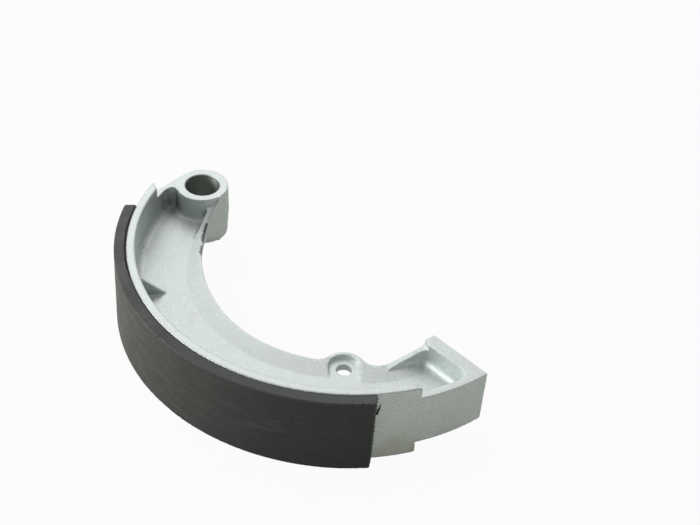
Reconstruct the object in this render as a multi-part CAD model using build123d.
from build123d import *
from math import asin, atan2, cos, degrees, radians, sin, sqrt
import os

# Brake shoe for a small internal expanding drum brake, 150 mm drum, 28 mm wide.
# One die casting in aluminium carries a bonded friction lining. Every arc is drawn
# about the drum axis at mid width. The finished pieces are then moved so that the
# origin is the centre of the pivot bore, with the cam face looking along +X.

# Lining and its bond
DRUM_RADIUS = 75.0
LINING_THICKNESS = 3.8
BOND_THICKNESS = 0.2
SHOE_WIDTH = 28.0
LINING_MIDDLE = 179.7
LINING_ARC = 110.5
LINING_END_SLANT = 1.2
LINING_EDGE_CHAMFER = 0.45
BOND_INSET = 0.35

# Rim: full width under the lining, narrower at both ends
RIM_ARC = 132.9
RIM_THICKNESS = 2.9
RIM_END_SLANT = 2.7
NARROW_WIDTH = 19.3
EDGE_ROUND = 0.3

# Web between the rim and the concave edge
WEB_THICKNESS = 2.5
FLOOR_FILLET = 2.6
CONCAVE_RADIUS = 44.8
CONCAVE_TURN = 167.0
SWEEP_RADIUS = 60.4
RAMP_EDGE_HEIGHT = 2.55
RAMP_RISE = 0.19
RAMP_TOP = 2.8
RAMP_TURN_RADIUS = 20.0
RAMP_TURN_ALONG = 12.0
CONCAVE_ROUND = 0.8
CONCAVE_MARGIN = 6.7

# Spring hole in its round boss on the concave edge
SPRING_HOLE_DIAMETER = 4.7
SPRING_HOLE_INSET = 2.8
SPRING_HOLE_ANGLE = 228.0
SPRING_BOSS_RADIUS = 7.0
SPRING_BOSS_BLEND = 5.0
SPRING_RECESS_RADIUS = 4.8
SPRING_RECESS_RUN = 6.0
SPRING_RECESS_DRAFT = 18.0

# Pivot boss and the arm that ties it to the rim
PIVOT_RADIUS_OUT = 59.1
PIVOT_ANGLE = 102.0
BORE_DIAMETER = 12.0
BORE_CHAMFER = 0.3
BOSS_WALL = 3.45
BOSS_DRAFT_ANGLE = 2.4
BOSS_FOOT_FILLET = 1.6
BOSS_BLEND_LEAD = 13.5
ARM_THICKNESS = 2.1
ARM_CORNER = 1.9

# Cam pad at the other end
CAM_FACE_OFFSET = 5.4
CAM_FACE_INNER = 47.8
PAD_THICKNESS = 4.8
PAD_FOOT = 3.3
PAD_CORNER_ROUND = 0.7
POCKET_CORNER = 3.0
WALL_DIRECTION = 157.1

# Sloping gusset walls along the concave edge, one at the pad and one at the boss
GUSSET_THICKNESS = 2.1
PAD_GUSSET_PROFILE = ((0.5, 7.6), (7.4, 4.35), (14.8, 1.8))
BOSS_GUSSET_START = 4.4
BOSS_GUSSET_PROFILE = ((0.0, 8.9), (5.2, 4.9), (14.2, 1.6))
GUSSET_RUN_OUT = 6.0

# Thin triangular ribs from rim to web, and the round marks of the ejector pins
RIB_ANGLES = (151.2, 195.4, 240.2)
RIB_FOOT_RADIUS = 59.0
RIB_HEIGHT = 11.2
RIB_THICKNESS = 1.2
EJECTOR_MARKS = ((60.8, 229.6), (61.9, 203.7), (60.9, 160.8), (64.2, 131.4), (62.3, 120.7))
EJECTOR_MARK_RADIUS = 3.3
EJECTOR_MARK_DEPTH = 0.12
EJECTOR_PIN_TRAVEL = 0.5

# Sizes that follow from those above
HALF_WIDTH = SHOE_WIDTH / 2
HALF_NARROW = NARROW_WIDTH / 2
HALF_WEB = WEB_THICKNESS / 2
RIM_RADIUS = DRUM_RADIUS - LINING_THICKNESS - BOND_THICKNESS
RIM_INNER = RIM_RADIUS - RIM_THICKNESS
BOSS_RADIUS = BORE_DIAMETER / 2 + BOSS_WALL
BOSS_TOP_RADIUS = BOSS_RADIUS - HALF_NARROW * sin(radians(BOSS_DRAFT_ANGLE))
LINING_START = LINING_MIDDLE - LINING_ARC / 2
RIM_START = LINING_MIDDLE - RIM_ARC / 2
PAD_BACK = -CAM_FACE_OFFSET - PAD_THICKNESS
TALL = SHOE_WIDTH
CONCAVE_REACH = CONCAVE_RADIUS + CONCAVE_MARGIN
NEAR = 0.01


def polar(radius, angle):
    """The plan point at a radius and an angle in degrees about the drum axis."""
    return Vector(radius * cos(radians(angle)), radius * sin(radians(angle)))


def radius_out(point):
    """How far a point is from the drum axis."""
    return sqrt(point.X**2 + point.Y**2)


def on_circle_at_x(radius, x):
    """The lower plan point of a circle about the drum axis at a given x."""
    return Vector(x, -sqrt(radius**2 - x**2))


def arc_about_axis(radius, start, stop):
    """An arc about the drum axis between two angles in degrees."""
    return CenterArc((0, 0), radius, start, stop - start)


def ring_sector(inner, outer, start, stop, slant=0.0):
    """A flat ring sector about the drum axis. A slant in degrees shortens its outer side at each end."""
    outline = [
        arc_about_axis(outer, start + slant, stop - slant),
        Line(polar(outer, stop - slant), polar(inner, stop)),
        arc_about_axis(inner, stop, start),
        Line(polar(inner, start), polar(outer, start + slant)),
    ]
    return make_face(outline)


def vertices_on_circle(plan, centre, radius):
    """The vertices of a plan that lie on a circle, or at its centre where the radius is nought."""
    return [v for v in plan.vertices() if abs((Vector(v) - centre).length - radius) < NEAR]


PIVOT = polar(PIVOT_RADIUS_OUT, PIVOT_ANGLE)
SPRING_HOLE = polar(CONCAVE_RADIUS + SPRING_HOLE_INSET, SPRING_HOLE_ANGLE)
SWEEP_CENTRE = polar(CONCAVE_RADIUS - SWEEP_RADIUS, CONCAVE_TURN)
WALL_ALONG = polar(1, WALL_DIRECTION)
WALL_OUTWARD = polar(1, WALL_DIRECTION + 90)
WALL_START = Vector(-CAM_FACE_OFFSET - PAD_FOOT, -CAM_FACE_INNER)
ARM_START = polar(RIM_RADIUS, RIM_START)


def arm_tangent_point():
    """Where the arm's flat outer face touches the boss's top, as seen from the rim's end."""
    to_boss = PIVOT - ARM_START
    bearing = degrees(atan2(to_boss.Y, to_boss.X))
    swing = degrees(asin(BOSS_TOP_RADIUS / to_boss.length))
    return PIVOT + polar(BOSS_TOP_RADIUS, bearing + swing + 90)


def angle_about_sweep(point):
    """The bearing of a plan point seen from the centre of the wide concave sweep."""
    return degrees(atan2(point.Y - SWEEP_CENTRE.Y, point.X - SWEEP_CENTRE.X))


def sweep_arc(radius, start, stop):
    """An arc about the centre of the wide concave sweep."""
    return CenterArc(SWEEP_CENTRE, radius, start, stop - start)


def sweep_point(radius, angle):
    """A plan point at a bearing from the centre of the wide concave sweep."""
    return SWEEP_CENTRE + polar(radius, angle)


ARM_TOUCH = arm_tangent_point()
ARM_ALONG = (ARM_TOUCH - ARM_START).normalized()
ARM_INWARD = Vector(ARM_ALONG.Y, -ARM_ALONG.X)
BOSS_BEARING = angle_about_sweep(PIVOT)


def blend_radius(bearing):
    """The radius of the hollow blend that leaves the sweep at a bearing and touches the pivot boss."""
    to_boss = PIVOT - SWEEP_CENTRE
    along = to_boss.dot(polar(1, bearing))
    start_gap = (PIVOT - sweep_point(SWEEP_RADIUS, bearing)).length
    return (start_gap**2 - BOSS_RADIUS**2) / (2 * (SWEEP_RADIUS + BOSS_RADIUS - along))


BLEND_START = BOSS_BEARING + BOSS_BLEND_LEAD
BOSS_BLEND = blend_radius(BLEND_START)
BLEND_CENTRE = sweep_point(SWEEP_RADIUS - BOSS_BLEND, BLEND_START)
BLEND_STOP = degrees(atan2(PIVOT.Y - BLEND_CENTRE.Y, PIVOT.X - BLEND_CENTRE.X))


def blend_arc(radius):
    """An arc about the blend's centre, from the sweep round to the boss."""
    return CenterArc(BLEND_CENTRE, radius, BLEND_START, BLEND_STOP - BLEND_START)


def shoe_plan():
    """The outline of the casting seen along the drum axis, without the wide rim's extra height."""
    cam_outer = on_circle_at_x(RIM_RADIUS, -CAM_FACE_OFFSET)
    cam_inner = Vector(-CAM_FACE_OFFSET, -CAM_FACE_INNER)
    cam_angle = 360 + degrees(atan2(cam_outer.Y, cam_outer.X))
    wall_end = WALL_START + WALL_ALONG * (SPRING_HOLE - WALL_START).dot(WALL_ALONG)
    concave_start = polar(CONCAVE_RADIUS, SPRING_HOLE_ANGLE)
    blend_end = BLEND_CENTRE + polar(BOSS_BLEND, BLEND_STOP)
    outline = [
        Line(cam_outer, cam_inner),
        Line(cam_inner, WALL_START),
        Line(WALL_START, wall_end),
        Line(wall_end, concave_start),
        arc_about_axis(CONCAVE_RADIUS, SPRING_HOLE_ANGLE, CONCAVE_TURN),
        sweep_arc(SWEEP_RADIUS, CONCAVE_TURN, BLEND_START),
        blend_arc(BOSS_BLEND),
        Line(blend_end, PIVOT),
        Line(PIVOT, ARM_TOUCH),
        Line(ARM_TOUCH, ARM_START),
        arc_about_axis(RIM_RADIUS, RIM_START, cam_angle),
    ]
    plan = make_face(outline) + Pos(SPRING_HOLE) * Circle(SPRING_BOSS_RADIUS)
    plan = fillet(vertices_on_circle(plan, SPRING_HOLE, SPRING_BOSS_RADIUS), SPRING_BOSS_BLEND)
    return fillet(vertices_on_circle(plan, cam_inner, 0), PAD_CORNER_ROUND)


def rim_plan():
    """The wide part of the rim. Its ends slant, so that the inner side is shorter."""
    stop = RIM_START + RIM_ARC
    slant = degrees(RIM_END_SLANT / RIM_INNER)
    depth = (RIM_THICKNESS + FLOOR_FILLET) / RIM_THICKNESS
    inner = RIM_RADIUS - RIM_THICKNESS * depth
    outline = [
        arc_about_axis(RIM_RADIUS, RIM_START, stop),
        Line(polar(RIM_RADIUS, stop), polar(inner, stop - slant * depth)),
        arc_about_axis(inner, stop - slant * depth, RIM_START + slant * depth),
        Line(polar(inner, RIM_START + slant * depth), polar(RIM_RADIUS, RIM_START)),
    ]
    return make_face(outline)


def pocket():
    """What is hollowed out above the web, with a fillet round its floor."""
    pad_corner = on_circle_at_x(RIM_INNER, PAD_BACK)
    gusset_origin = WALL_START + WALL_OUTWARD * GUSSET_THICKNESS
    pad_inner = gusset_origin + WALL_ALONG * ((PAD_BACK - gusset_origin.X) / WALL_ALONG.X)
    pad_wall_end = gusset_origin + WALL_ALONG * (PAD_GUSSET_PROFILE[-1][0] + GUSSET_RUN_OUT)
    clear_of_wall = pad_wall_end - WALL_OUTWARD * (GUSSET_THICKNESS + 2 * SPRING_BOSS_RADIUS)
    gusset_radius = SWEEP_RADIUS + GUSSET_THICKNESS
    run_out = gusset_foot_bearing() + degrees(GUSSET_RUN_OUT / SWEEP_RADIUS)
    boss_wall_end = sweep_point(gusset_radius, run_out)
    clear_of_sweep = sweep_point(SWEEP_RADIUS - 2 * SPRING_BOSS_RADIUS, run_out)
    blend_end = BLEND_CENTRE + polar(BOSS_BLEND + GUSSET_THICKNESS, BLEND_STOP)
    arm_inner = ARM_TOUCH + ARM_INWARD * ARM_THICKNESS
    along = arm_inner.dot(ARM_ALONG)
    reach = along + sqrt(RIM_INNER**2 - arm_inner.cross(ARM_ALONG).length ** 2)
    arm_corner = arm_inner - ARM_ALONG * reach
    pad_angle = 360 + degrees(atan2(pad_corner.Y, pad_corner.X))
    arm_angle = degrees(atan2(arm_corner.Y, arm_corner.X))
    outline = [
        Line(pad_corner, pad_inner),
        Line(pad_inner, pad_wall_end),
        Line(pad_wall_end, clear_of_wall),
        Line(clear_of_wall, clear_of_sweep),
        Line(clear_of_sweep, boss_wall_end),
        sweep_arc(gusset_radius, run_out, BLEND_START),
        blend_arc(BOSS_BLEND + GUSSET_THICKNESS),
        Line(blend_end, arm_inner),
        Line(arm_inner, arm_corner),
        arc_about_axis(RIM_INNER, arm_angle, pad_angle),
    ]
    plan = make_face(outline)
    corners = vertices_on_circle(plan, pad_corner, 0) + vertices_on_circle(plan, pad_inner, 0)
    plan = fillet(corners, POCKET_CORNER)
    space = extrude(plan, HALF_WIDTH)
    return Pos(Z=HALF_WEB) * fillet(space.faces().sort_by(Axis.Z)[0].edges(), FLOOR_FILLET)


def gusset_foot_bearing():
    """The bearing, about the sweep's centre, at which the boss's gusset has run out."""
    return BOSS_BEARING + degrees((BOSS_GUSSET_START + BOSS_GUSSET_PROFILE[-1][0]) / SWEEP_RADIUS)


def gusset_slope(origin, away, heights, reach):
    """What is cut away above one gusset, whose top follows an arc through three heights."""
    first, middle, last = heights
    end = last[0] + GUSSET_RUN_OUT + 2 * FLOOR_FILLET
    outline = [
        ThreePointArc(first, middle, last),
        Polyline(last, (last[0], HALF_WEB), (end, HALF_WEB), (end, TALL), (first[0], TALL), first),
    ]
    side = Plane(origin=origin, x_dir=away, z_dir=Vector(away.Y, -away.X))
    return extrude(side * make_face(outline), reach, both=True)


def gusset_slopes():
    """The cutters for both gussets, one laid along the pad's wall and one along the sweep."""
    foot = gusset_foot_bearing()
    boss_side = sweep_point(SWEEP_RADIUS, foot - degrees(BOSS_GUSSET_PROFILE[-1][0] / SWEEP_RADIUS))
    away = (sweep_point(SWEEP_RADIUS, foot) - boss_side).normalized()
    pad_slope = gusset_slope(WALL_START, WALL_ALONG, PAD_GUSSET_PROFILE, 2 * SPRING_BOSS_RADIUS)
    boss_slope = gusset_slope(boss_side, away, BOSS_GUSSET_PROFILE, GUSSET_THICKNESS + 2 * FLOOR_FILLET)
    return pad_slope, boss_slope


def ramp_cone(centre, edge_radius):
    """A shallow cone that thickens the web towards an edge at a radius about a centre."""
    foot_radius = edge_radius + (RAMP_EDGE_HEIGHT - HALF_WEB) / RAMP_RISE
    flat_radius = edge_radius - (RAMP_TOP - RAMP_EDGE_HEIGHT) / RAMP_RISE
    top = [(0, RAMP_TOP), (flat_radius, RAMP_TOP)]
    foot = [(foot_radius, HALF_WEB), (foot_radius, 0)]
    section = Polyline((0, 0), *top, *foot, close=True)
    return Pos(centre) * revolve(Plane.XZ * make_face(section), Axis.Z)


def edge_ramp(plan):
    """The web's thicker edge: a cone about the drum axis and another that turns with the pad's wall."""
    turn = WALL_START + WALL_ALONG * RAMP_TURN_ALONG - WALL_OUTWARD * RAMP_TURN_RADIUS
    slab = extrude(plan, RAMP_TOP)
    concave = [e for e in level_edges(slab, RAMP_TOP) if radius_out(e @ 0.5) < CONCAVE_REACH]
    slab = fillet(concave, CONCAVE_ROUND)
    return (ramp_cone(Vector(0, 0), CONCAVE_RADIUS) & slab) + (ramp_cone(turn, RAMP_TURN_RADIUS) & slab)


def pivot_boss(plan):
    """The upper half of the drafted boss, with a fillet where it stands on the web."""
    foot_radius = BOSS_RADIUS + BOSS_FOOT_FILLET
    drafted_side = [(BOSS_RADIUS, 0), (BOSS_TOP_RADIUS, HALF_NARROW)]
    section = make_face(Polyline((0, 0), *drafted_side, (0, HALF_NARROW), close=True))
    top_corner = section.vertices().sort_by(Axis.Y)[-2:].sort_by(Axis.X)[-1]
    boss = Pos(PIVOT) * revolve(Plane.XZ * fillet(top_corner, EDGE_ROUND), Axis.Z)
    foot_top = HALF_WEB + BOSS_FOOT_FILLET
    foot = make_face(
        [
            Line((0, 0), (foot_radius, 0)),
            Line((foot_radius, 0), (foot_radius, HALF_WEB)),
            RadiusArc((foot_radius, HALF_WEB), (BOSS_RADIUS, foot_top), BOSS_FOOT_FILLET),
            Line((BOSS_RADIUS, foot_top), (0, foot_top)),
            Line((0, foot_top), (0, 0)),
        ]
    )
    skirt = Pos(PIVOT) * revolve(Plane.XZ * foot, Axis.Z)
    return boss + (skirt & extrude(plan, HALF_NARROW))


def arm_corner():
    """The arm where it runs into the boss, with the sharp corner between them filled to a radius."""
    inner = ARM_TOUCH + ARM_INWARD * ARM_THICKNESS
    reach = ARM_ALONG * (BOSS_TOP_RADIUS + ARM_CORNER)
    strip = make_face(Polyline(inner, ARM_TOUCH, ARM_TOUCH - reach, inner - reach, close=True))
    joined = strip + Pos(PIVOT) * Circle(BOSS_TOP_RADIUS)
    meeting = [v for v in joined.vertices() if abs((Vector(v) - PIVOT).length - BOSS_TOP_RADIUS) < NEAR]
    corner = min(meeting, key=lambda v: (Vector(v) - (inner - reach)).length)
    return extrude(fillet(corner, ARM_CORNER), HALF_NARROW)


def rib(angle):
    """One thin triangular rib, standing on the web and leaning on the rim."""
    side = Plane(origin=(0, 0, 0), x_dir=polar(1, angle), z_dir=polar(1, angle - 90))
    root = RIM_RADIUS - RIM_THICKNESS / 2
    slope = [(RIB_FOOT_RADIUS, HALF_WEB), (root, RIB_HEIGHT)]
    section = Polyline(*slope, (root, 0), (RIB_FOOT_RADIUS, 0), close=True)
    return extrude(side * make_face(section), RIB_THICKNESS / 2, both=True)


def level_edges(shape, height):
    """The edges of a shape that lie flat at one height."""
    return [e for e in shape.edges() if all(abs((e @ t).Z - height) < NEAR for t in (0, 0.5, 1))]


def clear_of_rim_and_boss(point):
    """Whether a point lies inside the rim's outer circle and outside the pivot boss."""
    return radius_out(point) < RIM_RADIUS - NEAR and (Vector(point.X, point.Y) - PIVOT).length > BOSS_RADIUS


def spring_recess():
    """The flat-floored recess round the spring hole, open towards the rim through the web's edge."""
    far_end = SPRING_HOLE + polar(SPRING_RECESS_RUN, SPRING_HOLE_ANGLE)
    middle = (SPRING_HOLE + far_end) / 2
    floor = SlotCenterPoint(middle, far_end, 2 * SPRING_RECESS_RADIUS)
    return Pos(Z=HALF_WEB) * extrude(floor, RAMP_TOP - HALF_WEB, taper=-SPRING_RECESS_DRAFT)


def casting():
    """The whole aluminium casting, drawn as its upper half and mirrored about mid width."""
    plan = shoe_plan()
    block = extrude(plan, HALF_NARROW)
    rounded = [e for e in level_edges(block, HALF_NARROW) if clear_of_rim_and_boss(e @ 0.5)]
    half = fillet(rounded, EDGE_ROUND) + extrude(rim_plan(), HALF_WIDTH)
    half -= pocket()
    for slope in gusset_slopes():
        half -= slope
    half += edge_ramp(plan)
    half += pivot_boss(plan)
    half += arm_corner()
    half = fillet(level_edges(half, HALF_WIDTH), EDGE_ROUND)
    for angle in RIB_ANGLES:
        half += rib(angle)
    half -= spring_recess()
    whole = half + mirror(half, Plane.XY)
    for radius, angle in EJECTOR_MARKS:
        spot = polar(radius, angle)
        pin = extrude(Circle(EJECTOR_MARK_RADIUS), EJECTOR_MARK_DEPTH + EJECTOR_PIN_TRAVEL)
        whole -= Pos(spot.X, spot.Y, HALF_WEB - EJECTOR_MARK_DEPTH) * pin
    whole -= Pos(SPRING_HOLE) * extrude(Circle(SPRING_HOLE_DIAMETER / 2), TALL, both=True)
    whole -= Pos(PIVOT) * extrude(Circle(BORE_DIAMETER / 2), TALL, both=True)
    mouths = level_edges(whole, HALF_NARROW) + level_edges(whole, -HALF_NARROW)
    round_mouths = [e for e in mouths if e.geom_type == GeomType.CIRCLE]
    bore_mouths = [e for e in round_mouths if abs(e.radius - BORE_DIAMETER / 2) < NEAR]
    return chamfer(bore_mouths, BORE_CHAMFER)


def lining():
    """The friction lining, a strip moulded to the drum with slanting ends and its outer edges broken."""
    slant = degrees(LINING_END_SLANT / DRUM_RADIUS)
    stop = LINING_START + LINING_ARC
    strip = ring_sector(DRUM_RADIUS - LINING_THICKNESS, DRUM_RADIUS, LINING_START, stop, slant)
    block = extrude(strip, HALF_WIDTH, both=True)
    outer = block.faces().filter_by(GeomType.CYLINDER).sort_by(SortBy.AREA)[-1]
    return chamfer(outer.edges(), LINING_EDGE_CHAMFER)


def bond():
    """The cured adhesive between rim and lining, a little short of the lining's edges."""
    inset = degrees(BOND_INSET / RIM_RADIUS)
    start = LINING_START + inset
    film = ring_sector(RIM_RADIUS, RIM_RADIUS + BOND_THICKNESS, start, start + LINING_ARC - 2 * inset)
    return extrude(film, HALF_WIDTH - BOND_INSET, both=True)


os.makedirs("parts", exist_ok=True)
to_pivot = Pos(-PIVOT)
for name, solid in (("shoe_casting", casting()), ("friction_lining", lining()), ("adhesive_film", bond())):
    export_step(to_pivot * solid, f"parts/{name}.step")
